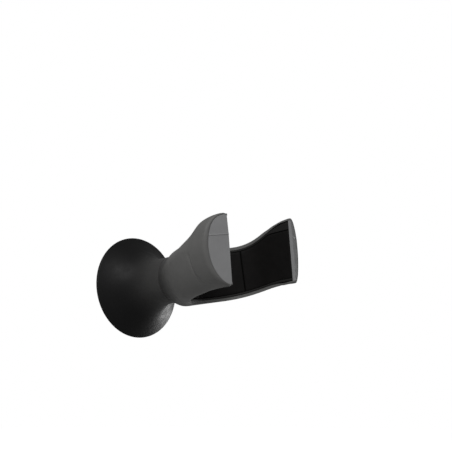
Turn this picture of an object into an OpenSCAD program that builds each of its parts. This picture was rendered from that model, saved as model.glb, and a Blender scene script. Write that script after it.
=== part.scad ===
// Wall hanger for a stringed instrument: a flared round base on the wall and a
// padded two-armed yoke that swivels on a shoulder bolt.
// Drawn with X to the right, +Y into the wall and +Z up; the wall is the plane Y = 0.

/* [Flared cover] */
// Diameter of the rim against the wall
cover_d = 74; // [66:1:90]
// Distance from the wall to the front end of the cover
cover_depth = 41.8; // [38:0.2:50]
// Diameter of the narrow neck
neck_d = 32; // [30:1:38]
// Wall thickness of the cover
cover_wall = 2.2; // [1.6:0.1:2.6]
// How sharply the rim flares: higher is flatter at the rim
flare_power = 3.2; // [2.5:0.1:4]
// Radius of the rounded rim edge
rim_r = 1.2; // [0.6:0.1:1.4]

/* [Wall plate] */
// Diameter of the steel wall plate
plate_d = 56; // [54:1:57]
// Thickness of the wall plate
plate_t = 3.5; // [3:0.1:4.2]
// Number of wall screws
wall_screws = 3; // [2:1:4]
// Diameter of the circle that the wall screws lie on
screw_circle_d = 43; // [42:0.5:44]
// Diameter of each wall screw's hole
screw_hole_d = 5.2; // [4:0.1:5.6]
// Diameter of each wall screw's countersink
screw_sink_d = 9.6; // [8:0.1:10]

/* [Pivot] */
// Diameter of the post behind the cover's seat
post_d = 29; // [28:0.5:31]
// Diameter of the shoulder bolt's shank
shoulder_d = 10; // [9:0.5:10.5]
// Diameter of the shoulder bolt's thread
thread_d = 8; // [6:0.5:8]
// Diameter of the shoulder bolt's head
bolt_head_d = 16; // [14:0.5:17]
// Thickness of the shoulder bolt's head
bolt_head_t = 4.8; // [4:0.1:5]
// Width across the flats of the bolt's hexagonal socket
hex_af = 6; // [5:0.5:8]
// Outside diameter of the two bushes
bush_d = 13; // [12:0.5:13.5]
// Length of each bush
bush_len = 8.6; // [6:0.2:9]
// Thickness of the rear friction washer
rear_washer_t = 1; // [0.6:0.1:1.4]
// Thickness of the front thrust washer
front_washer_t = 0.9; // [0.6:0.1:1]
// Height of the disc spring
spring_h = 1.7; // [1.2:0.1:1.8]
// Diameter of the stop pin
stop_pin_d = 3; // [2.5:0.1:3.2]
// How far the yoke turns each way from upright, in degrees
swivel_limit = 30; // [15:1:40]
// How far the yoke is turned as drawn, in degrees
yoke_roll = 11; // [-15:1:15]

/* [Yoke] */
// Free width between the two arms
arm_gap = 62; // [56:1:70]
// Distance from the wall to the arms' inner front edges
reach = 123.5; // [116:0.5:135]
// Distance from the wall to the bottom of the throat
throat_reach = 66; // [66:0.5:70]
// Front-to-back length of the throat's rounded part
throat_depth = 30; // [26:0.5:33]
// Thickness of each arm at its thickest
arm_thick = 14.3; // [13:0.1:18]
// Height of the arm tips above the swivel axis
tip_height = 27.3; // [24:0.1:32]
// Depth of the arm fronts below the swivel axis
front_drop = 15.4; // [13:0.2:17]
// Depth of the belly under the hub below the swivel axis
belly_drop = 20.2; // [19:0.2:22]
// How far the yoke's top dips in front of the cover
top_dip = 1; // [0:0.1:1.5]
// How far the top then rises to the throat, above the neck
top_rise = 0; // [0:0.1:3]
// Slant of the arm fronts: setback for each unit of thickness
front_slant = 0.475; // [0.2:0.025:0.6]
// Forward lean of the arm fronts for each unit of height
front_lean = 0.08; // [0:0.01:0.12]
// Wall thickness of the arm shells
shell_wall = 2; // [1.6:0.1:2.4]
// Thickness of the light front caps
cap_t = 2.8; // [2:0.1:3.5]

/* [Pads and liners] */
// Thickness of the soft pads
pad_t = 2.5; // [1.8:0.1:3]
// Height of the arm pads' top edge above the swivel axis
pad_top = 20; // [16:0.5:21]
// Thickness of the liners behind the pads
liner_t = 2.2; // [1.8:0.1:2.4]
// Width of the liner's bare edge above and below the pads
pad_border = 1.3; // [1:0.1:2]
// Thickness of the core's steel strip
strip_t = 2.4; // [1.8:0.1:2.6]
// Diameter of the screws that hold the arm shells
shell_screw_d = 3; // [2.5:0.1:3.5]

/* [Hidden] */
$fn = 96;

// Clearances
fit_gap = 0.1;        // between moulded pieces that nest
run_gap = 0.05;       // radial running clearance on the shoulder bolt
turn_gap = 0.3;       // between faces that turn past each other
seam_gap = 0.4;       // between the cover and the yoke's shells
eps = 0.01;

// Places along the swivel axis, measured from the wall
neck_r = neck_d / 2;
plate_front = plate_t;
seat_at = 16;                                   // where the cover's web rests on the post
web_t = 2.5;
clip_t = 1;
post_front = 22;
stem_back = post_front + rear_washer_t + turn_gap;
shell_back = cover_depth + seam_gap;
stem_r = neck_r - cover_wall - 0.8;
hub_r = neck_r - top_dip - shell_wall - fit_gap;
strip_in = pad_t + liner_t + 3 * fit_gap;       // strip's distance behind the throat's surface
strip_front = throat_reach - strip_in;
bolt_front = strip_front - fit_gap;
bolt_head_back = bolt_front - bolt_head_t;
spring_back = bolt_head_back - spring_h;
front_washer_back = spring_back - front_washer_t;
front_bush_at = front_washer_back - turn_gap - bush_len;
head_well_r = bolt_head_d / 2 + 1.5;
slot_r = (stem_r + bush_d / 2) / 2;             // radius of the stop pin's arc
slot_w = stop_pin_d + 2 * turn_gap;
slot_depth = 4;
pin_in_post = 8;

// Outline of the yoke
arc_end = throat_reach + throat_depth;          // where the arms' inner faces run straight
gap_half = arm_gap / 2;
widest = gap_half + arm_thick;
ring_n = 14;                                    // steps along each half-section

function ease(t) = let (c = min(max(t, 0), 1)) c * c * (3 - 2 * c);

// Half-width of the throat at distance d from the wall
function throat_x(d) = d <= throat_reach ? 0
    : d >= arc_end ? gap_half
    : gap_half * sqrt(1 - pow((arc_end - d) / throat_depth, 2));
// Half-width over the outside of the yoke
function outer_x(d) = neck_r + (widest - neck_r)
    * pow(sin(90 * min(max((d - shell_back) / (arc_end + 6.1 - shell_back), 0), 1)), 1.12);
// Top and bottom edge, and the height of the thickest point
function tip_part(d) = ease((d - arc_end + 18.8) / (reach - arc_end + 16.6));
function top_u(d) = neck_r - top_dip * ease((d - shell_back) / 8)
    + (top_dip + top_rise) * ease((d - shell_back - 12) / 12)
    + (tip_height - neck_r - top_rise) * tip_part(d) / tip_part(reach);
function bottom_u(d) = -neck_r - (belly_drop - neck_r) * ease((d - shell_back) / 9)
    + (belly_drop - front_drop) * ease((d - throat_reach) / (reach - throat_reach - 12));
function thick_u(d) = 0.31 * tip_height * ease((d - throat_reach + 8) / (reach - throat_reach - 8.5));
// Half-width of the flat part of a section, where its round outside begins
function flat_x(d) = max(throat_x(d) + 0.05,
    gap_half * ease((d - shell_back - 6) / (arc_end - shell_back - 6)));
// How fast the section narrows from its thickest point to its edges, below and above
function blend_f(d) = ease((d - throat_reach) / (reach - throat_reach - 10));
function low_power(d) = 1 + 0.25 * blend_f(d);
function high_power(d) = let (b = blend_f(d)) 1 - 0.25 * b + 6.4 * b * (1 - b);
// How far the section plane leans back at distance d
function slant_k(d) = front_slant * ease((d - arc_end - 2) / (reach - arc_end - 4));
function lean_k(d) = front_lean * ease((d - arc_end - 2) / (reach - arc_end - 4));

// Distances from the wall of the sections that a shell is lofted through
function stations() = concat(
    [for (i = [0 : 6]) shell_back + (throat_reach - shell_back) * i / 6],
    [for (a = [15 : 15 : 90]) arc_end - throat_depth * cos(a)],
    [for (i = [1 : 7]) arc_end + (reach - arc_end) * i / 7]);

// One point of a section: angle -90 is the bottom, 90 the top; inset moves it inwards
function skin(d, a, inset = 0, back = 0) =
    let (w0 = outer_x(d) - flat_x(d) - inset,
         um = thick_u(d),
         w = w0 * pow(max(cos(a), 0), a < 0 ? low_power(d) : high_power(d)),
         u = um + sin(a) * (a < 0 ? um - bottom_u(d) - inset : top_u(d) - inset - um))
    lean(d, flat_x(d) + w, u, back);
// The point at (x, u) in the leaning section plane of distance d
function lean(d, x, u, back = 0) =
    [x, u, d - back - slant_k(d) * (x - throat_x(d)) + lean_k(d) * (u - 8)];
// Lowest and highest u inside the shell's wall at half-width x of section d
function room(d, x) = max(outer_x(d) - flat_x(d) - shell_wall - fit_gap, 0.1);
function room_part(d, x, power) =
    sqrt(1 - pow(min(max((x - flat_x(d)) / room(d, x), 0), 1), 2 / power));
function room_lo(d, x) = let (um = thick_u(d))
    um - room_part(d, x, low_power(d)) * (um - bottom_u(d) - shell_wall - fit_gap);
function room_hi(d, x) = let (um = thick_u(d))
    um + room_part(d, x, high_power(d)) * (top_u(d) - shell_wall - fit_gap - um);

// Closed C-shaped section of a shell
function shell_ring(d) = let (x0 = throat_x(d)) concat(
    [lean(d, x0, bottom_u(d))],
    [for (i = [0 : ring_n]) skin(d, -90 + 180 * i / ring_n)],
    [lean(d, x0, top_u(d)), lean(d, x0, top_u(d) - shell_wall)],
    [for (i = [0 : ring_n]) skin(d, 90 - 180 * i / ring_n, shell_wall)],
    [lean(d, x0, bottom_u(d) + shell_wall)]);

// A solid through a list of rings that all have the same number of points
module loft(rings) {
    n = len(rings[0]);
    m = len(rings);
    polyhedron(
        points = [for (r = rings) each r],
        faces = concat(
            [[for (i = [0 : n - 1]) i]],
            [for (k = [0 : m - 2], i = [0 : n - 1])
                [k * n + i, (k + 1) * n + i, (k + 1) * n + (i + 1) % n]],
            [for (k = [0 : m - 2], i = [0 : n - 1])
                [k * n + i, (k + 1) * n + (i + 1) % n, k * n + (i + 1) % n]],
            [[for (i = [n - 1 : -1 : 0]) (m - 1) * n + i]]),
        convexity = 6);
}

// The surface of the throat and of the arms' inner faces, seen from above, as a path.
// s runs 0 to 90 round the throat's arc, then on along the straight face in millimetres.
function path_x(s) = s < 90 ? gap_half * sin(s) : gap_half;
function path_d(s) = s < 90 ? arc_end - throat_depth * cos(s) : arc_end + s - 90;
function path_n(s) = s < 90
    ? let (v = [sin(s) / gap_half, -cos(s) / throat_depth]) v / norm(v)
    : [1, 0];
// A point w behind that surface, at height u
function behind(s, w, u) = s < 90
    ? [path_x(s) + w * path_n(s)[0], u, path_d(s) + w * path_n(s)[1]]
    : lean(path_d(s), gap_half + w, u);
// The liner's lower and upper edges slope with the shell: their height w behind the surface
back_w = pad_t + fit_gap + liner_t;
function deep(s) = s < 90 ? behind(s, back_w, 0) : [gap_half + back_w, 0, path_d(s)];
function low_line(s, w) = let (a = bottom_u(path_d(s)) + shell_wall + fit_gap, p = deep(s))
    a + max(room_lo(p[2], p[0]) - a, 0) * w / back_w;
function high_line(s, w) = let (a = top_u(path_d(s)) - shell_wall - fit_gap, p = deep(s))
    a + min(room_hi(p[2], p[0]) - a, 0) * w / back_w;
function pad_lo(s, w) = low_line(s, w) + pad_border;
function pad_hi(s, w) = min(pad_top, high_line(s, w) - pad_border);

// Frames: out of the wall, and on the turned yoke; both have +Z along the swivel axis
module from_wall() rotate([90, 0, 0]) children();
module on_yoke() from_wall() rotate([0, 0, yoke_roll]) children();
module left_of() mirror([1, 0, 0]) children();

module tube(r_out, r_in, h) difference() {
    cylinder(r = r_out, h = h);
    translate([0, 0, -eps]) cylinder(r = r_in, h = h + 2 * eps);
}

// The rounded rim meets the flare where both lean by rim_turn
rim_turn = 60;
flare_from_r = cover_d / 2 - rim_r * (1 - cos(rim_turn));
flare_from_d = rim_r * (1 + sin(rim_turn));
foot_w = 0.8;         // width of the rim's flat foot on the wall
// Radius of the cover at distance d from the wall
function cover_r(d) = neck_r + (flare_from_r - neck_r)
    * pow(min(max((cover_depth - d) / (cover_depth - flare_from_d), 0), 1), flare_power);
function cover_slope(d) = (cover_r(d + 0.05) - cover_r(d - 0.05)) / 0.1;
// The matching point on the inside of the cover's wall
function cover_in(d) = let (s = cover_slope(d), n = norm([1, s]))
    [cover_r(d) - cover_wall / n, d + cover_wall * s / n];

module wall_plate() color([0.55, 0.56, 0.58]) from_wall() difference() {
    cylinder(d = plate_d, h = plate_t);
    for (i = [0 : wall_screws - 1])
        rotate([0, 0, 90 + 360 * i / wall_screws]) translate([screw_circle_d / 2, 0, 0]) {
            translate([0, 0, -eps]) cylinder(d = screw_hole_d, h = plate_t + 2 * eps);
            translate([0, 0, plate_t - (screw_sink_d - screw_hole_d) / 2])
                cylinder(d1 = screw_hole_d, d2 = screw_sink_d + 2 * eps,
                         h = (screw_sink_d - screw_hole_d) / 2 + eps);
        }
    post_screw_places() post_screw(fit_gap);
}

// Three countersunk screws that hold the post from behind the plate
post_screw_d = 3;
post_screw_r = 9.5;
post_screw_len = 12;
module post_screw_places() for (a = [30, 150, 270])
    rotate([0, 0, a]) translate([post_screw_r, 0, 0]) children();
post_screw_sunk = 0.2;
module post_screw(grow = 0) {
    translate([0, 0, post_screw_sunk])
        cylinder(d1 = 2 * post_screw_d + 2 * grow, d2 = post_screw_d + 2 * grow, h = post_screw_d / 2);
    cylinder_between(post_screw_d / 2 + grow, post_screw_sunk, post_screw_len + grow);
    if (grow > 0) cylinder_between(post_screw_d + grow, -eps, post_screw_sunk + eps);
}

module post_screws() color([0.7, 0.7, 0.72]) from_wall() post_screw_places() post_screw();

module pivot_post() color([0.62, 0.63, 0.65]) from_wall() difference() {
    union() {
        translate([0, 0, plate_front]) cylinder(d = post_d, h = seat_at - plate_front);
        cylinder_between(post_tip_r, seat_at - eps, post_front);
    }
    translate([0, 0, seat_at + web_t + fit_gap]) tube(post_d, post_tip_r - 1, clip_t + fit_gap);
    cylinder_between(thread_d / 2 + run_gap, plate_front - eps, post_front + eps);
    translate([0, 0, shoulder_back]) cylinder(r = shoulder_d / 2 + run_gap, h = post_front);
    post_screw_places() cylinder(d = post_screw_d + 2 * run_gap, h = post_screw_len + fit_gap);
    stop_pin_place() cylinder_between(stop_pin_d / 2 + 0.02, post_front - pin_in_post, post_front + eps);
}
post_tip_r = post_d / 2 - 1.5;
shoulder_back = post_front - 2;
module cylinder_between(r, from, to) translate([0, 0, from]) cylinder(r = r, h = to - from);
module stop_pin_place() rotate([0, 0, 90]) translate([slot_r, 0, 0]) children();

module shoulder_bolt() color([0.45, 0.45, 0.47]) from_wall() difference() {
    union() {
        cylinder_between(thread_d / 2, plate_front + 3, shoulder_back + eps);
        cylinder_between(shoulder_d / 2, shoulder_back, bolt_head_back + eps);
        cylinder_between(bolt_head_d / 2, bolt_head_back, bolt_front);
    }
    translate([0, 0, bolt_front - 3]) cylinder(d = hex_af / cos(30), h = 4, $fn = 6);
}

module stop_pin() color([0.7, 0.7, 0.72]) from_wall() stop_pin_place()
    cylinder_between(stop_pin_d / 2, post_front - pin_in_post, stem_back + slot_depth - turn_gap);

module rear_washer() color([0.92, 0.91, 0.86]) from_wall() difference() {
    translate([0, 0, post_front]) tube(stem_r - 0.5, shoulder_d / 2 + run_gap, rear_washer_t);
    stop_pin_place() cylinder_between(stop_pin_d / 2 + run_gap, post_front - eps, stem_back);
}

module front_washer() color([0.7, 0.7, 0.72]) from_wall() translate([0, 0, front_washer_back])
    tube(bolt_head_d / 2 + 0.8, shoulder_d / 2 + run_gap, front_washer_t);

module disc_spring() color([0.35, 0.36, 0.4]) from_wall() rotate_extrude() polygon([
    [shoulder_d / 2 + run_gap, spring_back + 0.8],
    [bolt_head_d / 2 + 0.3, spring_back],
    [bolt_head_d / 2 + 0.3, spring_back + 0.9],
    [shoulder_d / 2 + run_gap, spring_back + spring_h]]);

module flared_cover() color([0.13, 0.13, 0.14]) from_wall() {
    steps = 26;
    along = [for (i = [1 : steps]) flare_from_d + (cover_depth - flare_from_d) * pow(i / steps, 1.4)];
    inner = [for (i = [steps - 1 : -1 : 0]) cover_in(along[i])];
    foot_r = cover_d / 2 - rim_r - foot_w;
    mouth_r = neck_r - cover_wall;
    rotate_extrude() polygon(concat(
        [for (a = [-90 : 30 : rim_turn]) [cover_d / 2 - rim_r + rim_r * cos(a), rim_r + rim_r * sin(a)]],
        [for (d = along) [cover_r(d), d]],
        [[mouth_r, cover_depth]],
        [for (p = inner) if (p[0] > mouth_r + 0.05 && p[0] < foot_r - 0.1) p],
        [[foot_r, 0]]));
    translate([0, 0, seat_at]) tube(cover_in(seat_at + web_t + 2)[0] + 0.8, post_tip_r + fit_gap, web_t);
}

module cover_clip() color([0.35, 0.36, 0.38]) from_wall() difference() {
    translate([0, 0, seat_at + web_t + 1.5 * fit_gap])
        tube(post_d / 2 + 0.6, post_tip_r - 1 + run_gap, clip_t);
    translate([-1.5, -post_d, seat_at]) cube([3, post_d, 6]);
}

// Cast hub and stem with the steel strip that reinforces both arms
strip_lo = -3.5;
strip_hi = 9;
module yoke_core() color([0.6, 0.6, 0.62]) on_yoke() difference() {
    union() {
        cylinder_between(stem_r, stem_back, shell_back + 4);
        cylinder_between(hub_r, shell_back + 2, strip_front - 1);
        core_strip();
    }
    cylinder_between(bush_d / 2, stem_back - eps, stem_back + bush_len);
    cylinder_between(shoulder_d / 2 + 0.6, stem_back, strip_front);
    cylinder_between(bush_d / 2, front_bush_at, strip_front + 5);
    cylinder_between(head_well_r, front_bush_at + bush_len, strip_front + 5);
    stop_slot();
    for (side = [-1, 1], s = screw_stations) shell_screw_hole(side, s, shell_screw_d / 2 + 0.2);
}

module core_strip() {
    angles = concat([for (a = [-90 : 6 : 90]) a]);
    arm_len = reach - arc_end - 13;
    function side_pt(a, w) = let (p = behind(abs(a), w, 0)) [sign(a) * p[0], p[2]];
    near = [for (a = angles) a == 0 ? [0, throat_reach - strip_in] : side_pt(a, strip_in)];
    far = [for (a = angles)
        a == 0 ? [0, throat_reach - strip_in - strip_t] : side_pt(a, strip_in + strip_t)];
    far_back = [for (i = [len(far) - 1 : -1 : 0]) far[i]];
    translate([0, strip_hi, 0]) rotate([90, 0, 0]) linear_extrude(strip_hi - strip_lo) polygon(concat(
        [[-gap_half - strip_in, arc_end + arm_len]],
        near,
        [[gap_half + strip_in, arc_end + arm_len], [gap_half + strip_in + strip_t, arc_end + arm_len]],
        far_back,
        [[-gap_half - strip_in - strip_t, arc_end + arm_len]]));
}

// Arc slot in the stem's back face that the stop pin runs in
module stop_slot() translate([0, 0, stem_back - eps]) {
    rotate([0, 0, 90 - swivel_limit]) rotate_extrude(angle = 2 * swivel_limit)
        translate([slot_r - slot_w / 2, 0]) square([slot_w, slot_depth + eps]);
    for (a = [-swivel_limit, swivel_limit])
        rotate([0, 0, 90 + a]) translate([slot_r, 0, 0]) cylinder(d = slot_w, h = slot_depth + eps);
}

module rear_bush() color([0.66, 0.5, 0.28]) on_yoke()
    translate([0, 0, stem_back]) tube(bush_d / 2, shoulder_d / 2 + run_gap, bush_len);

module front_bush() color([0.66, 0.5, 0.28]) on_yoke()
    translate([0, 0, front_bush_at]) tube(bush_d / 2, shoulder_d / 2 + run_gap, bush_len);

// Screws through the liners and the strip into bosses in the shells
screw_stations = [4, 12];     // distance past the throat's arc
screw_u = 3;
boss_r = 3;
module shell_screw_place(side, s) translate([side * gap_half, screw_u, arc_end + s])
    rotate([0, side * 90, 0]) children();
module shell_screw_hole(side, s, r) shell_screw_place(side, s) cylinder(r = r, h = arm_thick);
// How deep a boss reaches: just into the shell's wall at the boss's lower side
function boss_end(s) = let (d = arc_end + s, um = thick_u(d),
                            t = (um - screw_u + boss_r) / (um - bottom_u(d)))
    (outer_x(d) - gap_half - 0.5 * shell_wall) * pow(1 - t * t, low_power(d) / 2);

module arm_shell() color([0.2, 0.2, 0.21]) difference() {
    union() {
        loft([for (d = stations()) shell_ring(d)]);
        for (s = screw_stations) shell_screw_place(1, s)
            cylinder_between(boss_r, strip_in + strip_t + fit_gap, boss_end(s), $fn = 24);
    }
    for (s = screw_stations) shell_screw_place(1, s)
        cylinder_between(shell_screw_d / 2 + 0.05, 0, boss_end(s) - 1.2, $fn = 24);
}
module right_shell() on_yoke() arm_shell();
module left_shell() on_yoke() left_of() arm_shell();

// Rigid wall that closes the open side of a shell and carries the pads. It starts
// beside the bolt's head; a removable cover of the same section closes the middle.
liner_from = asin((head_well_r + fit_gap) / gap_half);
joint_turn = 0.3;     // angle left open at each joint round the throat
liner_end = reach - cap_t - arc_end - 2 * fit_gap;
function liner_ring(s) = let (w1 = pad_t + fit_gap, w2 = back_w, g = fit_gap)
    [behind(s, w2, low_line(s, w2)), behind(s, w2, high_line(s, w2)),
     behind(s, 0, high_line(s, 0)), behind(s, 0, pad_hi(s, 0) + g),
     behind(s, w1, pad_hi(s, w1) + g), behind(s, w1, pad_lo(s, w1) - g),
     behind(s, 0, pad_lo(s, 0) - g), behind(s, 0, low_line(s, 0))];
module arm_liner() color([0.24, 0.24, 0.25]) difference() {
    $fn = 32;
    loft([for (s = concat([for (i = [0 : 8]) liner_from + (90 - liner_from) * i / 8],
                          [for (i = [1 : 4]) 90 + liner_end * i / 4])) liner_ring(s)]);
    for (s = screw_stations) shell_screw_place(1, s) {
        cylinder_between(shell_screw_d / 2 + fit_gap, 0, arm_thick);
        translate([0, 0, pad_t]) cylinder(d1 = 2 * shell_screw_d + 0.6, d2 = shell_screw_d + 0.2, h = 1.8);
    }
}
module right_liner() on_yoke() arm_liner();
module left_liner() on_yoke() left_of() arm_liner();
// The same ring on the other side of the middle for a negative angle
function both_sides(a, ring) = [for (p = ring) [a < 0 ? -p[0] : p[0], p[1], p[2]]];
module bolt_cover() color([0.24, 0.24, 0.25]) on_yoke()
    loft([for (i = [-3 : 3]) let (a = (liner_from - joint_turn) * i / 3) both_sides(a, liner_ring(abs(a)))]);

module shell_screws() color([0.7, 0.7, 0.72]) on_yoke() for (side = [-1, 1], s = screw_stations)
    shell_screw_place(side, s) {
        translate([0, 0, pad_t + 2 * fit_gap]) cylinder(d1 = 2 * shell_screw_d, d2 = shell_screw_d, h = 1.6);
        cylinder_between(shell_screw_d / 2, pad_t + 2 * fit_gap, boss_end(0) - 1.6);
    }

// Light lens-shaped cap on the slanted front of each arm
function cap_ring(back) = [for (i = [0 : 2 * ring_n])
    skin(reach, -90 + 90 * i / ring_n, shell_wall + fit_gap, back)];
module arm_cap() color([0.42, 0.44, 0.47]) loft([cap_ring(cap_t), cap_ring(0)]);
module right_front_cap() on_yoke() arm_cap();
module left_front_cap() on_yoke() left_of() arm_cap();

// Soft pads: one on each arm and one round the throat
pad_joint = 60;      // where the throat pad meets the arm pads, as an angle round the throat
function pad_ring(s) = [behind(s, 0, pad_lo(s, 0)), behind(s, pad_t, pad_lo(s, pad_t)),
    behind(s, pad_t, pad_hi(s, pad_t)), behind(s, 0, pad_hi(s, 0))];
module arm_pad() color([0.06, 0.06, 0.065])
    loft([for (s = concat([for (i = [0 : 4]) pad_joint + joint_turn + (90 - pad_joint - joint_turn) * i / 4],
                          [for (i = [1 : 4]) 90 + liner_end * i / 4])) pad_ring(s)]);
module right_pad() on_yoke() arm_pad();
module left_pad() on_yoke() left_of() arm_pad();
module throat_pad() color([0.06, 0.06, 0.065]) on_yoke()
    loft([for (a = [-pad_joint : 6 : pad_joint]) both_sides(a, pad_ring(abs(a)))]);

wall_plate();
pivot_post();
post_screws();
shoulder_bolt();
stop_pin();
rear_washer();
front_washer();
disc_spring();
flared_cover();
cover_clip();
yoke_core();
rear_bush();
front_bush();
left_shell();
right_shell();
left_liner();
right_liner();
left_front_cap();
right_front_cap();
left_pad();
right_pad();
throat_pad();
bolt_cover();
shell_screws();
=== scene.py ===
import math

import bpy
import bmesh
from mathutils import Matrix, Vector


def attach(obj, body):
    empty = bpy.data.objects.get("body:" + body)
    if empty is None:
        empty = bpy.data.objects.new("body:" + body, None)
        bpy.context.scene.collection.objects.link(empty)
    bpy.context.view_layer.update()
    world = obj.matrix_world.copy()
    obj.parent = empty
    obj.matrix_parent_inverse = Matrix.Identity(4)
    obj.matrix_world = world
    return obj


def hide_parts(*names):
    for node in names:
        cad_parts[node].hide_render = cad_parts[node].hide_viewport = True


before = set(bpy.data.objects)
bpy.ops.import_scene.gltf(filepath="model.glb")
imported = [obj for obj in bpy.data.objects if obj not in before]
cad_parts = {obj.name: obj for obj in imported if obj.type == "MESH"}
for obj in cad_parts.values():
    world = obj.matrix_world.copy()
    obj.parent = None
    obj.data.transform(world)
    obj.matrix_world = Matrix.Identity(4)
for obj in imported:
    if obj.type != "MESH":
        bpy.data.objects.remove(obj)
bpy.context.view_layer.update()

# ------------------------------------------------------- sizes, mm and degrees
# The same values as the CAD source: x to the right, u up, d out of the wall.
COVER_D, COVER_DEPTH, NECK_R, COVER_WALL = 74.0, 41.8, 16.0, 2.2
FLARE_POWER, RIM_R, RIM_TURN, FOOT_W = 3.2, 1.2, 60, 0.8
SEAT_AT, WEB_T, POST_TIP_R = 16.0, 2.5, 13.0
YOKE_ROLL = 11.0
THROAT_REACH, THROAT_DEPTH, REACH = 66.0, 30.0, 123.5
GAP_HALF, ARM_THICK = 31.0, 14.3
TIP_HEIGHT, FRONT_DROP, BELLY_DROP = 27.3, 15.4, 20.2
TOP_DIP, TOP_RISE = 1.0, 0
FRONT_SLANT, FRONT_LEAN = 0.475, 0.08
SHELL_WALL, CAP_T, FIT = 2.0, 2.8, 0.1
PAD_T, PAD_TOP, LINER_T, PAD_BORDER = 2.5, 20.0, 2.2, 1.3
PAD_JOINT, JOINT_TURN, SEAM_GAP = 60.0, 0.3, 0.4
HEAD_WELL_R = 9.5
ARC_END = THROAT_REACH + THROAT_DEPTH
SHELL_BACK = COVER_DEPTH + SEAM_GAP
WIDEST = GAP_HALF + ARM_THICK
BACK_W = PAD_T + FIT + LINER_T
LINER_END = REACH - CAP_T - ARC_END - 2 * FIT
LINER_FROM = math.degrees(math.asin((HEAD_WELL_R + FIT) / GAP_HALF))

# Where along d the arms' outline changes, and how fast
WIDEST_AT, OUTER_POWER = ARC_END + 6.1, 1.12
DIP_RUN, RISE_FROM, RISE_RUN = 8.0, SHELL_BACK + 12, 12.0
TIP_FROM, TIP_RUN = ARC_END - 18.8, REACH - ARC_END + 16.6
BELLY_RUN, DROP_RUN = 9.0, REACH - THROAT_REACH - 12
THICK_SHARE, THICK_FROM, THICK_RUN = 0.31, THROAT_REACH - 8, REACH - THROAT_REACH - 8.5
FLAT_FROM, FLAT_STEP = SHELL_BACK + 6, 0.05
BLEND_RUN, POWER_CHANGE, HIGH_SWELL = REACH - THROAT_REACH - 10, 0.25, 6.4
SLANT_FROM, SLANT_RUN, LEAN_U = ARC_END + 2, REACH - ARC_END - 4, 8.0
LEAST_ROOM = 0.1

# Only the visual model has these
FRONT_ROUND, FRONT_ZONE = 1.9, 3.5    # rounding of the shells' front edge, and where it starts
NECK_EDGE = 0.35                      # rounding of the cover's front edge
LIP_U = 0.8                           # wall left above and below the caps
GROOVE = 0.45                         # width of the shadow line between a cap and its shell
TIP_ROUND = 1.6                       # rounding of the arms' inner corners at the front
CREASE_U, CREASE = 14.5, 0.05         # the caps' upper facet starts here, and its backward slope
RIDGE, RIDGE_HALF = 0.28, 0.35        # height and half-width of the fine ridge along that line
PAD_SHOULDER, PAD_END = 1.1, 1.0      # rounding along the pads' edges and at their ends
PAD_CROWN, PAD_SIDE = 0.25, 0.4       # crown of the pads' faces, and the least side left
RELIEF = 0.35                         # depth of the shallow recess on the arms' outer faces
RELIEF_NEAR, RELIEF_FAR = 103.3, 106.0                     # its two sides, as distances
RELIEF_LOW, RELIEF_MID, RELIEF_HIGH = -14.0, -5.0, 8.0     # its ends and its middle, as heights
RELIEF_BOW, RELIEF_SWEEP, RELIEF_END = 0.012, 0.12, 3.0    # how the sides bend and the ends fade
OUTER_FACE = 3.0                      # this far outside the throat the surface is the outer face


# Angles are in degrees everywhere
def sin(a): return math.sin(math.radians(a))
def cos(a): return math.cos(math.radians(a))


def steps(a, b, n):
    return [a + (b - a) * i / n for i in range(n + 1)]


def ease(t):
    """A smooth step from 0 to 1."""
    c = min(max(t, 0.0), 1.0)
    return c * c * (3 - 2 * c)


# -------------------------------------------- the arms' outline at distance d
def throat_x(d):
    """Half-width of the throat."""
    if d <= THROAT_REACH:
        return 0.0
    if d >= ARC_END:
        return GAP_HALF
    return GAP_HALF * math.sqrt(1 - ((ARC_END - d) / THROAT_DEPTH) ** 2)


def outer_x(d):
    """Half-width of the yoke."""
    t = min(max((d - SHELL_BACK) / (WIDEST_AT - SHELL_BACK), 0), 1)
    return NECK_R + (WIDEST - NECK_R) * sin(90 * t) ** OUTER_POWER


def tip_part(d):
    """How far the top edge has risen towards the tip, from 0 to 1."""
    return ease((d - TIP_FROM) / TIP_RUN)


def top_u(d):
    """Height of the top edge."""
    return (NECK_R - TOP_DIP * ease((d - SHELL_BACK) / DIP_RUN)
            + (TOP_DIP + TOP_RISE) * ease((d - RISE_FROM) / RISE_RUN)
            + (TIP_HEIGHT - NECK_R - TOP_RISE) * tip_part(d) / tip_part(REACH))


def bottom_u(d):
    """Height of the bottom edge."""
    return (-NECK_R - (BELLY_DROP - NECK_R) * ease((d - SHELL_BACK) / BELLY_RUN)
            + (BELLY_DROP - FRONT_DROP) * ease((d - THROAT_REACH) / DROP_RUN))


def thick_u(d):
    """Height at which the section is widest."""
    return THICK_SHARE * TIP_HEIGHT * ease((d - THICK_FROM) / THICK_RUN)


def flat_x(d):
    """Half-width at which the section's curved side starts, just outside the throat."""
    part = ease((d - FLAT_FROM) / (ARC_END - FLAT_FROM))
    return max(throat_x(d) + FLAT_STEP, GAP_HALF * part)


# How the section's lower and upper halves fill out along the arm, and how far its front slants
def blend(d): return ease((d - THROAT_REACH) / BLEND_RUN)
def low_power(d): return 1 + POWER_CHANGE * blend(d)
def high_power(d): return 1 - POWER_CHANGE * blend(d) + HIGH_SWELL * blend(d) * (1 - blend(d))
def slant_part(d): return ease((d - SLANT_FROM) / SLANT_RUN)


def lean(d, x, u, back=0.0):
    """The point (x, u) of section d, set back and slanted as the arm's front is."""
    k = slant_part(d)
    return (x, u, d - back - FRONT_SLANT * k * (x - throat_x(d)) + FRONT_LEAN * k * (u - LEAN_U))


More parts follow.
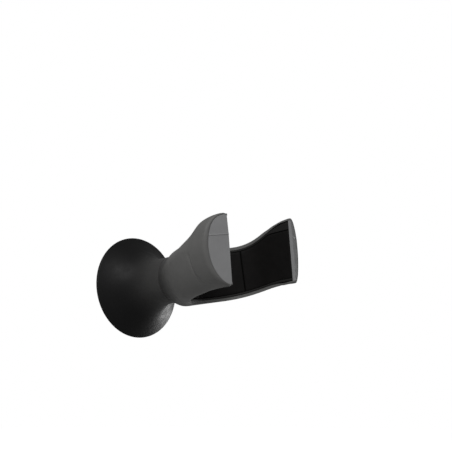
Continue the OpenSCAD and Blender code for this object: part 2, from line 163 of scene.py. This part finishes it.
def skin_xu(d, a, inset=0.0, inset_u=None):
    """Half-width and height of section d at angle a, from -90 at the bottom to 90 at the top."""
    inset_u = inset if inset_u is None else inset_u
    um = thick_u(d)
    power = low_power(d) if a < 0 else high_power(d)
    w = (outer_x(d) - flat_x(d) - inset) * max(cos(a), 0) ** power
    reach_u = um - bottom_u(d) - inset_u if a < 0 else top_u(d) - inset_u - um
    return flat_x(d) + w, um + sin(a) * reach_u


def room_part(d, x, power):
    """Share of the shell's inner height that is left at half-width x."""
    room = max(outer_x(d) - flat_x(d) - SHELL_WALL - FIT, LEAST_ROOM)
    t = min(max((x - flat_x(d)) / room, 0), 1)
    return math.sqrt(1 - t ** (2 / power))


def room_lo(d, x):
    um = thick_u(d)
    return um - room_part(d, x, low_power(d)) * (um - bottom_u(d) - SHELL_WALL - FIT)


def room_hi(d, x):
    um = thick_u(d)
    return um + room_part(d, x, high_power(d)) * (top_u(d) - SHELL_WALL - FIT - um)


# ----------------------- the throat's path: s is degrees round the arc, then mm
def path_x(s): return GAP_HALF * sin(s) if s < 90 else GAP_HALF
def path_d(s): return ARC_END - THROAT_DEPTH * cos(s) if s < 90 else ARC_END + s - 90


def path_n(s):
    if s >= 90:
        return 1.0, 0.0
    v = Vector((sin(s) / GAP_HALF, -cos(s) / THROAT_DEPTH)).normalized()
    return v[0], v[1]


def behind(s, w, u):
    """The point at height u, w behind the throat's surface."""
    if s >= 90:
        return lean(path_d(s), GAP_HALF + w, u)
    n = path_n(s)
    return path_x(s) + w * n[0], u, path_d(s) + w * n[1]


def edge_line(s, w, room, edge, pick):
    """Height of a liner's edge, which runs from the shell's edge to the room there is behind."""
    p = behind(s, BACK_W, 0) if s < 90 else (GAP_HALF + BACK_W, 0, path_d(s))
    return edge + pick(room(p[2], p[0]) - edge, 0) * w / BACK_W


def low_line(s, w): return edge_line(s, w, room_lo, bottom_u(path_d(s)) + SHELL_WALL + FIT, max)
def high_line(s, w): return edge_line(s, w, room_hi, top_u(path_d(s)) - SHELL_WALL - FIT, min)
def pad_lo(s, w): return low_line(s, w) + PAD_BORDER
def pad_hi(s, w): return min(PAD_TOP, high_line(s, w) - PAD_BORDER)


# ------------------------------------------------------------ mesh building
MM = 0.001
ROLL = Matrix.Rotation(math.radians(-YOKE_ROLL), 3, "Y")


def on_yoke(p):
    return ROLL @ Vector((p[0] * MM, -p[2] * MM, p[1] * MM))


def on_wall(p):
    return Vector((p[0] * MM, -p[2] * MM, p[1] * MM))


def resample(points, count):
    """The same open line through count points at equal steps along it."""
    at = [0.0]
    for a, b in zip(points, points[1:]):
        at.append(at[-1] + math.dist(a, b))
    out, k = [], 0
    for i in range(count):
        want = at[-1] * i / (count - 1)
        while k < len(at) - 2 and at[k + 1] < want:
            k += 1
        t = (want - at[k]) / max(at[k + 1] - at[k], 1e-9)
        out.append(tuple(p + (q - p) * t for p, q in zip(points[k], points[k + 1])))
    return out


def sunk(soft, near):
    """How far an edge rounded to radius soft has sunk at a distance near from its end."""
    return soft - math.sqrt(max(soft ** 2 - max(soft - near, 0) ** 2, 0))


def loft(rings, ends="fan"):
    """A solid through rings. Its ends are one face each, or a strip where the ring is a thin C."""
    n, m = len(rings[0]), len(rings)
    verts = [p for r in rings for p in r]
    faces = [(k * n + i, (k + 1) * n + i, (k + 1) * n + (i + 1) % n, k * n + (i + 1) % n)
             for k in range(m - 1) for i in range(n)]
    for base in (0, (m - 1) * n):
        last = base + n - 1
        if ends == "fan":
            faces.append(tuple(range(base, base + n)))
        else:
            faces += [(base + i, base + i + 1, last - i - 1, last - i) for i in range(n // 2 - 1)]
    return verts, faces


def piece(name, verts, faces, place, body, material, nodes,
          bevel=0.0, segments=3, sharp=35.0, side=1):
    """A named object from local mm points, riding on its body and standing for its CAD nodes."""
    mesh = bpy.data.meshes.new(name)
    mesh.from_pydata([place((side * p[0], p[1], p[2])) for p in verts], [], faces)
    bm = bmesh.new()
    bm.from_mesh(mesh)
    bmesh.ops.remove_doubles(bm, verts=bm.verts, dist=2e-6)
    bmesh.ops.recalc_face_normals(bm, faces=bm.faces)
    bm.to_mesh(mesh)
    bm.free()
    mesh.polygons.foreach_set("use_smooth", [True] * len(mesh.polygons))
    mesh.set_sharp_from_angle(angle=math.radians(sharp))
    obj = bpy.data.objects.new(name, mesh)
    bpy.context.scene.collection.objects.link(obj)
    mesh.materials.append(material)
    if bevel:
        mod = obj.modifiers.new("edges", "BEVEL")
        mod.width = bevel * MM
        mod.segments = segments
        mod.limit_method = "ANGLE"
        mod.angle_limit = math.radians(sharp)
        mod.use_clamp_overlap = True
        mod.miter_outer = "MITER_ARC"
        smooth = obj.modifiers.new("normals", "WEIGHTED_NORMAL")
        smooth.keep_sharp = False
        smooth.weight = 80
    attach(obj, body)
    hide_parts(*nodes)
    return obj


# ---------------------------------------------------------------- materials
def node_material(name, color, rough, metallic=0.0, specular=0.5,
                  mottle=0.12, mottle_scale=90.0, rough_vary=0.06,
                  grain=0.08, grain_scale=2600.0, wear=0.0, rings=None, painted_shade=None):
    """A procedural finish: mottled colour, uneven gloss, fine grain and lighter worn edges.

    rings adds a turned metal's tool marks; the last argument paints shade, darker towards the
    wall.
    """
    mat = bpy.data.materials.new(name)
    mat.use_nodes = True
    tree = mat.node_tree
    link = tree.links.new
    shader = tree.nodes["Principled BSDF"]
    shader.inputs["Metallic"].default_value = metallic
    shader.inputs["Specular IOR Level"].default_value = specular

    def add(kind, **values):
        node = tree.nodes.new(kind)
        for key, value in values.items():
            node.inputs[key.replace("_", " ")].default_value = value
        return node

    coords = tree.nodes.new("ShaderNodeTexCoord")
    cloud = add("ShaderNodeTexNoise", Scale=mottle_scale, Detail=4.0, Roughness=0.6)
    link(coords.outputs["Object"], cloud.inputs["Vector"])
    ramp = tree.nodes.new("ShaderNodeValToRGB")
    dark = [c * (1 - mottle) for c in color]
    light = [min(c * (1 + mottle), 1.0) for c in color]
    ramp.color_ramp.elements[0].position = 0.3
    ramp.color_ramp.elements[1].position = 0.7
    ramp.color_ramp.elements[0].color = (*dark, 1)
    ramp.color_ramp.elements[1].color = (*light, 1)
    link(cloud.outputs["Fac"], ramp.inputs["Fac"])
    colour_out = ramp.outputs["Color"]
    if painted_shade:
        # painted shade: from the darker shaded colour near the wall to this one, between two
        # distances from the wall
        shaded_colour, start, end = painted_shade
        place = tree.nodes.new("ShaderNodeSeparateXYZ")
        link(coords.outputs["Object"], place.inputs["Vector"])
        along = add("ShaderNodeMapRange",
                    From_Min=-start * MM, From_Max=-end * MM, To_Min=1.0, To_Max=0.0)
        along.interpolation_type = "SMOOTHSTEP"
        link(place.outputs["Y"], along.inputs["Value"])
        shade_mix = tree.nodes.new("ShaderNodeMix")
        shade_mix.data_type = "RGBA"
        shade_mix.inputs[7].default_value = (*shaded_colour, 1)
        link(along.outputs["Result"], shade_mix.inputs[0])
        link(colour_out, shade_mix.inputs[6])
        colour_out = shade_mix.outputs[2]
    if wear:
        geometry = tree.nodes.new("ShaderNodeNewGeometry")
        edge = add("ShaderNodeMapRange", From_Min=0.5, From_Max=0.62, To_Min=0.0, To_Max=wear)
        link(geometry.outputs["Pointiness"], edge.inputs["Value"])
        mix = tree.nodes.new("ShaderNodeMix")
        mix.data_type = "RGBA"
        mix.inputs[7].default_value = (*[min(c * 1.9 + 0.02, 1) for c in color], 1)
        link(edge.outputs["Result"], mix.inputs[0])
        link(colour_out, mix.inputs[6])
        colour_out = mix.outputs[2]
    link(colour_out, shader.inputs["Base Color"])

    gloss = add("ShaderNodeTexNoise", Scale=mottle_scale * 2.3, Detail=3.0, Roughness=0.55)
    link(coords.outputs["Object"], gloss.inputs["Vector"])
    spread = add("ShaderNodeMapRange", From_Min=0.3, From_Max=0.7,
                 To_Min=rough - rough_vary, To_Max=rough + rough_vary)
    link(gloss.outputs["Fac"], spread.inputs["Value"])
    link(spread.outputs["Result"], shader.inputs["Roughness"])

    fine = add("ShaderNodeTexNoise", Scale=grain_scale, Detail=2.0, Roughness=0.5)
    link(coords.outputs["Object"], fine.inputs["Vector"])
    height = fine.outputs["Fac"]
    if rings:
        wave = add("ShaderNodeTexWave", Scale=rings, Distortion=0.4, Detail=2.0)
        wave.wave_type = "RINGS"
        wave.rings_direction = "Y"
        link(coords.outputs["Object"], wave.inputs["Vector"])
        both = tree.nodes.new("ShaderNodeMath")
        both.operation = "ADD"
        link(wave.outputs["Fac"], both.inputs[0])
        link(height, both.inputs[1])
        height = both.outputs[0]
    bump = add("ShaderNodeBump", Strength=grain, Distance=0.0002)
    link(height, bump.inputs["Height"])
    link(bump.outputs["Normal"], shader.inputs["Normal"])
    return mat


NECK_COLOUR = (0.034, 0.0335, 0.033)      # what cover and shells share at the seam
# the cover: painted shade, darker towards the wall and up to the seam colour at the neck
SATIN_BLACK = node_material(
    "satin_black", NECK_COLOUR, 0.52, specular=0.11, mottle=0.08, grain=0.08, wear=0.08,
    painted_shade=((0.0046, 0.0046, 0.0047), 10, 40))
# the shells: painted shade, darker back towards the seam with the cover
SHELL_GREY = node_material(
    "shell_grey", (0.086, 0.0855, 0.0835), 0.54, specular=0.2, mottle=0.06, grain=0.12, wear=0.1,
    painted_shade=(NECK_COLOUR, 44, 80))
# the liners' own dark grey, darkened nearly to black with painted shade
LINER_GREY_AND_SHADE = node_material(
    "liner_grey", (0.0095, 0.0093, 0.009), 0.58, specular=0.12, mottle=0.08, grain=0.12, wear=0.15)
CAP_GREY = node_material(
    "cap_grey", (0.175, 0.176, 0.178), 0.58, specular=0.2, mottle=0.05, grain=0.10, wear=0.08)
# the pads' own black, darkened further with painted shade
PAD_BLACK_AND_SHADE = node_material(
    "pad_black", (0.0033, 0.003, 0.0029), 0.68, specular=0.09, mottle=0.2, mottle_scale=160.0,
    grain=0.25, grain_scale=1500.0, wear=0.05)

CAD_FINISHES = {
    "wall_plate": node_material(
        "zinc_steel", (0.42, 0.43, 0.45), 0.38, 1.0, mottle=0.22, mottle_scale=260.0,
        rough_vary=0.1, grain=0.15, wear=0.3),
    "pivot_post": node_material(
        "turned_aluminium", (0.62, 0.63, 0.65), 0.33, 1.0, mottle=0.06, grain=0.3, rings=900.0,
        wear=0.2),
    "post_screws": node_material(
        "screw_steel", (0.5, 0.5, 0.52), 0.28, 1.0, mottle=0.1, grain=0.1, wear=0.3),
    "shoulder_bolt": node_material(
        "black_oxide", (0.055, 0.055, 0.06), 0.36, 1.0, mottle=0.25, mottle_scale=200.0,
        grain=0.12, rings=1200.0, wear=0.6),
    "disc_spring": node_material(
        "spring_steel", (0.16, 0.17, 0.2), 0.32, 1.0, mottle=0.2, mottle_scale=220.0,
        grain=0.1, wear=0.4),
    "rear_washer": node_material(
        "acetal", (0.72, 0.71, 0.66), 0.42, mottle=0.04, grain=0.1, wear=0.1),
    "yoke_core": node_material(
        "cast_alloy", (0.34, 0.34, 0.35), 0.55, 1.0, mottle=0.15, mottle_scale=300.0,
        grain=0.6, grain_scale=900.0, wear=0.35),
    "rear_bush": node_material(
        "bush_bronze", (0.40, 0.26, 0.11), 0.36, 1.0, mottle=0.18, mottle_scale=500.0,
        grain=0.2, rings=1100.0, wear=0.3),
}
for node, like in (("stop_pin", "post_screws"), ("front_washer", "post_screws"),
                   ("shell_screws", "post_screws"), ("cover_clip", "disc_spring"),
                   ("front_bush", "rear_bush")):
    CAD_FINISHES[node] = CAD_FINISHES[like]
for node, finish in CAD_FINISHES.items():
    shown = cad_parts[node]
    shown.data.materials.clear()
    shown.data.materials.append(finish)


# -------------------------------------------------------------- flared cover
FLARE_FROM_R = COVER_D / 2 - RIM_R * (1 - cos(RIM_TURN))     # where the flare leaves the rim
FLARE_FROM_D = RIM_R * (1 + sin(RIM_TURN))


def cover_r(d):
    t = (COVER_DEPTH - d) / (COVER_DEPTH - FLARE_FROM_D)
    return NECK_R + (FLARE_FROM_R - NECK_R) * min(max(t, 0), 1) ** FLARE_POWER


def cover_in(d, near=0.05):
    """(radius, d) of the inside, one wall square in from the flare at d."""
    slope = (cover_r(d + near) - cover_r(d - near)) / (2 * near)
    n = math.hypot(1, slope)
    return cover_r(d) - COVER_WALL / n, d + COVER_WALL * slope / n


def lathe(profile, turns=192):
    """A solid of revolution about the d axis from a closed profile of (radius, d)."""
    n = len(profile)
    verts = [(r * cos(360 * k / turns), r * sin(360 * k / turns), d)
             for k in range(turns) for r, d in profile]
    faces = []
    for k in range(turns):
        here, after = k * n, (k + 1) % turns * n
        faces += [(here + i, after + i, after + (i + 1) % n, here + (i + 1) % n) for i in range(n)]
    return verts, faces


def make_cover():
    foot_r = COVER_D / 2 - RIM_R - FOOT_W
    mouth_r = NECK_R - COVER_WALL
    # closer steps at the rim, where the flare bends most
    along = [FLARE_FROM_D + (COVER_DEPTH - FLARE_FROM_D) * t ** 1.4 for t in steps(0, 1, 60)[1:]]
    profile = [(COVER_D / 2 - RIM_R + RIM_R * cos(a), RIM_R + RIM_R * sin(a))
               for a in range(-90, RIM_TURN + 1, 10)]
    profile += [(cover_r(d), d) for d in along if d < COVER_DEPTH - NECK_EDGE]
    profile += [(NECK_R - NECK_EDGE * (1 - cos(a)), COVER_DEPTH - NECK_EDGE * (1 - sin(a)))
                for a in (30, 60, 90)]
    profile += [(mouth_r, COVER_DEPTH)]
    inner = [cover_in(d) for d in reversed(along)]
    inner = [p for p in inner if mouth_r + 0.05 < p[0] < foot_r - 0.1]
    # the web that seats on the post crosses the inside
    web_front, web_back, web_r = SEAT_AT + WEB_T, SEAT_AT, POST_TIP_R + FIT
    before = [p for p in inner if p[1] > web_front]
    after = [p for p in inner if p[1] < web_back]
    profile += [*before, (before[-1][0], web_front), (web_r, web_front),
                (web_r, web_back), (after[0][0], web_back), *after, (foot_r, 0.0)]
    verts, faces = lathe(profile)
    piece("flared_cover_skin", verts, faces, on_wall, "wall_base", SATIN_BLACK,
          ["flared_cover"], sharp=40)


# --------------------------------------------------------------- yoke shells
def shell_stations():
    """(d, inset of the outside, set back) of the sections from the seam to the front edge."""
    back = [(d, 0.0, 0.0) for d in steps(SHELL_BACK, THROAT_REACH, 26)]
    arc = [(ARC_END - THROAT_DEPTH * cos(a), 0.0, 0.0) for a in range(3, 91, 3)]
    arm = [(d, 0.0, 0.0) for d in steps(ARC_END, REACH - FRONT_ZONE, 44)[1:]]
    front = [(REACH, FRONT_ROUND * (1 - cos(a)), FRONT_ROUND * (1 - sin(a)))
             for a in range(0, 91, 15)]
    return back + arc + arm + front


def relief(d, u):
    """Depth of the shallow crescent recess on an arm's outer face."""
    near = ease(d - (RELIEF_NEAR - RELIEF_BOW * (u - RELIEF_MID) ** 2))
    far = ease(RELIEF_FAR + RELIEF_SWEEP * max(RELIEF_MID - u, 0) ** 2 - d)
    ends = ease((u - RELIEF_LOW) / RELIEF_END) * ease((RELIEF_HIGH - u) / RELIEF_END)
    return RELIEF * near * far * ends


def shell_ring(d, inset, back, count=72):
    """The C-shaped section of a shell: its outside, then its inside backwards."""
    x0, f = throat_x(d), slant_part(d)

    def line(by, by_u, round_r):
        r = max(round_r, 0.01)
        lo, hi = bottom_u(d) + by_u, top_u(d) - by_u
        body = [skin_xu(d, a, by, by_u) for a in steps(-90, 90, 120)]
        body = [p for p in body if p[0] > x0 + r]
        turn = steps(0, 90, 4)
        low = [(x0 + r - r * cos(a), lo + r - r * sin(a)) for a in turn]
        high = [(x0 + r - r * sin(a), hi - r + r * cos(a)) for a in turn]
        return resample(low + body + high, count)

    outer = line(inset, inset * LIP_U / SHELL_WALL, TIP_ROUND * f)
    outer = [(x - relief(d, u) if x > x0 + OUTER_FACE else x, u) for x, u in outer]
    inner = line(SHELL_WALL, SHELL_WALL + (LIP_U - SHELL_WALL) * f, 0)
    return [lean(d, x, u, back + f * CREASE * max(u - CREASE_U, 0))
            for x, u in outer + inner[::-1]]


def make_shell(name, side):
    verts, faces = loft([shell_ring(*station) for station in shell_stations()], "strip")
    piece(name + "_shell_skin", verts, faces, on_yoke, "yoke", SHELL_GREY,
          [name + "_shell"], bevel=0.3, segments=2, side=side)


# ----------------------------------------------------- liners and bolt cover
def liner_ring(s):
    """Section of a liner, with the recess that its pad lies in."""
    w1 = PAD_T + FIT
    return [behind(s, BACK_W, low_line(s, BACK_W)), behind(s, BACK_W, high_line(s, BACK_W)),
            behind(s, 0, high_line(s, 0)), behind(s, 0, pad_hi(s, 0) + FIT),
            behind(s, w1, pad_hi(s, w1) + FIT), behind(s, w1, pad_lo(s, w1) - FIT),
            behind(s, 0, pad_lo(s, 0) - FIT), behind(s, 0, low_line(s, 0))]


def mirrored(a, ring):
    """The ring itself, or its mirror image on the left where a is negative."""
    return [(-x if a < 0 else x, u, d) for x, u, d in ring]


def make_liner(name, side):
    stations = steps(LINER_FROM, 90, 24) + steps(90, 90 + LINER_END, 14)[1:]
    verts, faces = loft([liner_ring(s) for s in stations])
    piece(name + "_liner_skin", verts, faces, on_yoke, "yoke", LINER_GREY_AND_SHADE,
          [name + "_liner"], bevel=0.3, sharp=30, side=side)


def make_bolt_cover():
    half = LINER_FROM - JOINT_TURN
    verts, faces = loft([mirrored(a, liner_ring(abs(a))) for a in steps(-half, half, 12)])
    piece("bolt_cover_skin", verts, faces, on_yoke, "yoke", LINER_GREY_AND_SHADE,
          ["bolt_cover"], bevel=0.25, segments=2, sharp=30)


# ---------------------------------------------------------------------- pads
MM_PER_DEGREE = math.radians(1) * (GAP_HALF + THROAT_DEPTH) / 2
PAD_MARKS = (0, 0.15, 0.4, 0.75, 1.2)     # close sections where a pad's end rounds over
PAD_MIDDLE = 2.2                          # even ones from here on


def pad_marks(length, count):
    return [*PAD_MARKS, *steps(PAD_MIDDLE, length - PAD_MIDDLE, count),
            *(length - at for at in reversed(PAD_MARKS))]


def pad_ring(s, end, count=24):
    """Crowned section of a pad: a round-shouldered face, sunk by end at the pad's ends."""
    lo, hi = pad_lo(s, 0), pad_hi(s, 0)
    face = []
    for a in steps(0, 180, count):
        u = lo + (hi - lo) * (0.5 - 0.5 * cos(a))
        crown = PAD_CROWN * (2 * (u - lo) / (hi - lo) - 1) ** 2
        drop = sunk(PAD_SHOULDER, min(u - lo, hi - u)) + crown + end
        face.append(behind(s, min(drop, PAD_T - PAD_SIDE), u))
    return face + [behind(s, PAD_T, pad_hi(s, PAD_T)), behind(s, PAD_T, pad_lo(s, PAD_T))]


def make_arm_pad(name, side):
    first = PAD_JOINT + JOINT_TURN
    arc = (90 - first) * MM_PER_DEGREE
    length = arc + LINER_END
    rings = []
    for at in pad_marks(length, 26):
        s = first + at / arc * (90 - first) if at < arc else 90 + at - arc
        rings.append(pad_ring(s, sunk(PAD_END, min(at, length - at))))
    verts, faces = loft(rings)
    pad = piece(name + "_pad_skin", verts, faces, on_yoke, "yoke", PAD_BLACK_AND_SHADE,
                [name + "_pad"], bevel=0.2, segments=2, sharp=50, side=side)


def make_throat_pad():
    length = 2 * PAD_JOINT * MM_PER_DEGREE
    rings = []
    for at in pad_marks(length, 54):
        s = at / MM_PER_DEGREE - PAD_JOINT
        rings.append(mirrored(s, pad_ring(abs(s), sunk(PAD_END, min(at, length - at)))))
    verts, faces = loft(rings)
    pad = piece("throat_pad_skin", verts, faces, on_yoke, "yoke", PAD_BLACK_AND_SHADE,
                ["throat_pad"], bevel=0.2, segments=2, sharp=50)


# ---------------------------------------------------------------- front caps
def cap_rows(count=81, apart=0.15, narrow=0.9):
    """(height, half-width of the curved side) of a cap's rows, three of them along the ridge."""
    marks = (CREASE_U - RIDGE_HALF, CREASE_U, CREASE_U + RIDGE_HALF)
    curve = [skin_xu(REACH, a, SHELL_WALL + GROOVE, LIP_U + FIT) for a in steps(-90, 90, 240)]
    curve = [(u, x) for x, u in resample(curve, count)[1:-1]]
    rows = [(u, x) for u, x in curve if all(abs(u - mark) > apart for mark in marks)]
    for mark in marks:
        below = max(row for row in rows if row[0] < mark)
        above = min(row for row in rows if row[0] > mark)
        t = (mark - below[0]) / (above[0] - below[0])
        rows.append((mark, below[1] + (above[1] - below[1]) * t))
    return sorted(row for row in rows if row[1] - flat_x(REACH) > narrow)


def make_cap(name, side):
    rows, x0, across = cap_rows(), flat_x(REACH), 10

    def sink(u):
        """The upper facet's slope, with the ridge standing out of the face."""
        return CREASE * max(u - CREASE_U, 0) + RIDGE * min(abs(u - CREASE_U) / RIDGE_HALF, 1)

    front = [lean(REACH, x, u, sink(u)) for u, end in rows for x in steps(x0, end, across)]
    rear = [lean(REACH, x, u, CAP_T) for u, end in rows for x in steps(x0, end, across)]
    n, m, off = across + 1, len(rows), len(front)
    faces = []
    for j in range(m - 1):
        for a in range(j * n, j * n + across):
            faces.append((a, a + 1, a + n + 1, a + n))
            faces.append((off + a, off + a + n, off + a + n + 1, off + a + 1))
        for a in (j * n, j * n + across):
            faces.append((a, a + n, off + a + n, off + a))
    for j in (0, m - 1):
        for a in range(j * n, j * n + across):
            faces.append((a, a + 1, off + a + 1, off + a))
    piece(name + "_front_cap_skin", front + rear, faces, on_yoke, "yoke", CAP_GREY,
          [name + "_front_cap"], bevel=0.45, sharp=40, side=side)


make_cover()
make_bolt_cover()
make_throat_pad()
for name, side in (("left", -1), ("right", 1)):
    make_shell(name, side)
    make_liner(name, side)
    make_arm_pad(name, side)
    make_cap(name, side)

# -------------------------------------------------------------------- camera
EYE = Vector((-0.27995, -0.35324, -0.09534))
YAW, PITCH, CAMERA_ROLL, LENS, SENSOR = 46.79, 17.84, 0.21, 48.66, 36
forward = Vector((sin(YAW) * cos(PITCH), cos(YAW) * cos(PITCH), sin(PITCH)))
level_right = Vector((cos(YAW), -sin(YAW), 0))
level_up = level_right.cross(forward)
right = level_right * cos(CAMERA_ROLL) + level_up * sin(CAMERA_ROLL)
up = level_up * cos(CAMERA_ROLL) - level_right * sin(CAMERA_ROLL)
camera_data = bpy.data.cameras.new("camera")
camera_data.lens = LENS
camera_data.sensor_width = SENSOR
camera_data.clip_start = 0.01
camera = bpy.data.objects.new("camera", camera_data)
bpy.context.scene.collection.objects.link(camera)
camera.matrix_world = Matrix((
    (right.x, up.x, -forward.x, EYE.x),
    (right.y, up.y, -forward.y, EYE.y),
    (right.z, up.z, -forward.z, EYE.z),
    (0, 0, 0, 1)))
bpy.context.scene.camera = camera

# ---------------------------------------------------------- floor and lights
FLOOR_Z, FLOOR_HALF = -0.16, 6.0
FLOOR_GREY, FLOOR_GLOW = 0.55, 0.84     # its pigment, and what the camera sees on top of it
AMBIENT = 0.30                          # what the white surroundings add to the object


def camera_sees(tree):
    """1 for what the camera sees directly or through something, 0 for light on the object."""
    path = tree.nodes.new("ShaderNodeLightPath")
    seen = tree.nodes.new("ShaderNodeMath")
    seen.operation = "MAXIMUM"
    tree.links.new(path.outputs["Is Camera Ray"], seen.inputs[0])
    tree.links.new(path.outputs["Is Transmission Ray"], seen.inputs[1])
    return seen.outputs[0]


floor_mesh = bpy.data.meshes.new("floor")
corners = [(x * FLOOR_HALF, y * FLOOR_HALF, FLOOR_Z)
           for x, y in ((-1, -1), (1, -1), (1, 1), (-1, 1))]
floor_mesh.from_pydata(corners, [], [(0, 1, 2, 3)])
floor = bpy.data.objects.new("floor", floor_mesh)
bpy.context.scene.collection.objects.link(floor)
floor_mat = bpy.data.materials.new("pale_floor")
floor_mat.use_nodes = True
floor_mesh.materials.append(floor_mat)
floor_shader = floor_mat.node_tree.nodes["Principled BSDF"]
floor_shader.inputs["Base Color"].default_value = (FLOOR_GREY, FLOOR_GREY, FLOOR_GREY, 1)
floor_shader.inputs["Roughness"].default_value = 0.9
floor_shader.inputs["Specular IOR Level"].default_value = 0.1
floor_shader.inputs["Emission Color"].default_value = (1, 1, 1, 1)
floor_glow = floor_mat.node_tree.nodes.new("ShaderNodeMath")
floor_glow.operation = "MULTIPLY"
floor_glow.inputs[1].default_value = FLOOR_GLOW
floor_mat.node_tree.links.new(camera_sees(floor_mat.node_tree), floor_glow.inputs[0])
floor_mat.node_tree.links.new(floor_glow.outputs[0], floor_shader.inputs["Emission Strength"])

world = bpy.data.worlds.new("studio")
bpy.context.scene.world = world
world.use_nodes = True
background = world.node_tree.nodes["Background"]
background.inputs["Color"].default_value = (1, 1, 1, 1)
level = world.node_tree.nodes.new("ShaderNodeMapRange")
level.inputs["To Min"].default_value = AMBIENT
level.inputs["To Max"].default_value = 1.0
world.node_tree.links.new(camera_sees(world.node_tree), level.inputs["Value"])
world.node_tree.links.new(level.outputs["Result"], background.inputs["Strength"])


def area_light(name, place, target, size, power):
    data = bpy.data.lights.new(name, "AREA")
    data.shape = "RECTANGLE"
    data.size, data.size_y = size
    data.energy = power
    light = bpy.data.objects.new(name, data)
    bpy.context.scene.collection.objects.link(light)
    light.location = place
    light.rotation_euler = (Vector(target) - Vector(place)).to_track_quat("-Z", "Y").to_euler()
    light.visible_camera = False
    return light


area_light("key", (-1.05, -0.6, 0.8), (0, -0.06, 0), (0.9, 0.7), 19.0)
area_light("fill", (0.8, -0.7, 0.5), (0, -0.05, 0), (0.6, 0.6), 0.3)
# a low light from behind, seen only as a sheen along the cover's lower edge
rim = area_light("rim", (0.55, 0.0, -0.13), (0.01, -0.01, -0.02), (0.4, 0.26), 3.4)
rim.visible_diffuse = False

bpy.context.scene.view_settings.view_transform = "Standard"
